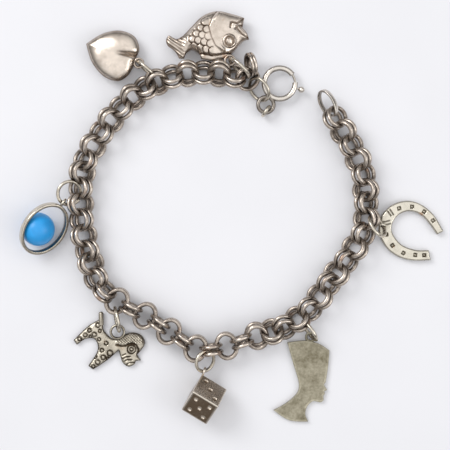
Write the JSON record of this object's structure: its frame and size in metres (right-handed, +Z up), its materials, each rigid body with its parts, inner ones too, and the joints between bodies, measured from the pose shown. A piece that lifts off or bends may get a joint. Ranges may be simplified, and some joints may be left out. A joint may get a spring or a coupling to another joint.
{
  "type": "charm bracelet",
  "caption": "Silver double-link charm bracelet lying open, with a bolt ring clasp, an oval end loop and charms on jump rings.",
  "frame": {"origin": "centre of the outline on the table that the bracelet lies on", "axes": "+X and +Y lie on the table, +Z points up from it; the long way of the outline is along X"},
  "size_m": [0.0887, 0.0864, 0.0085],
  "materials": {
    "aged_silver": "worn polished silver with brown tarnish in the recesses",
    "frosted_silver": "scratched matt grey-khaki silver",
    "dark_silver": "tarnished brown silver",
    "blue_bead": "smooth satin sky blue"
  },
  "bodies": {
    "bracelet": {"chain_1": "aged_silver", "chain_2": "aged_silver", "chain_3": "aged_silver", "chain_4": "aged_silver", "chain_5": "aged_silver", "chain_6": "aged_silver", "chain_7": "aged_silver", "chain_8": "aged_silver", "last_link": "aged_silver", "spare_link": "aged_silver", "clasp_link_ring": "aged_silver", "clasp_small_ring": "aged_silver", "clasp_ring": "aged_silver", "end_loop": "aged_silver", "heart_ring": "aged_silver", "heart": "aged_silver", "fish_ring": "aged_silver", "fish": "aged_silver", "horseshoe_ring": "aged_silver", "horseshoe": "aged_silver", "bust_ring": "aged_silver", "bust": "frosted_silver", "die_ring": "aged_silver", "die": "dark_silver", "dog_ring": "aged_silver", "dog": "aged_silver", "bead_ring": "aged_silver", "bead_frame": "aged_silver", "bead": "blue_bead"},
    "bolt": {"clasp_bolt": "aged_silver"}
  },
  "joints": [
    {"name": "clasp_bolt_turn", "type": "hinge", "parent": "bracelet", "child": "bolt", "pos_m": [0.00981, 0.02813, 0.0017], "axis": [0, 0, 1], "range_deg": [-36, 0], "stiffness_Nm_per_rad": 0.0005, "springref_deg": 11.46}
  ]
}
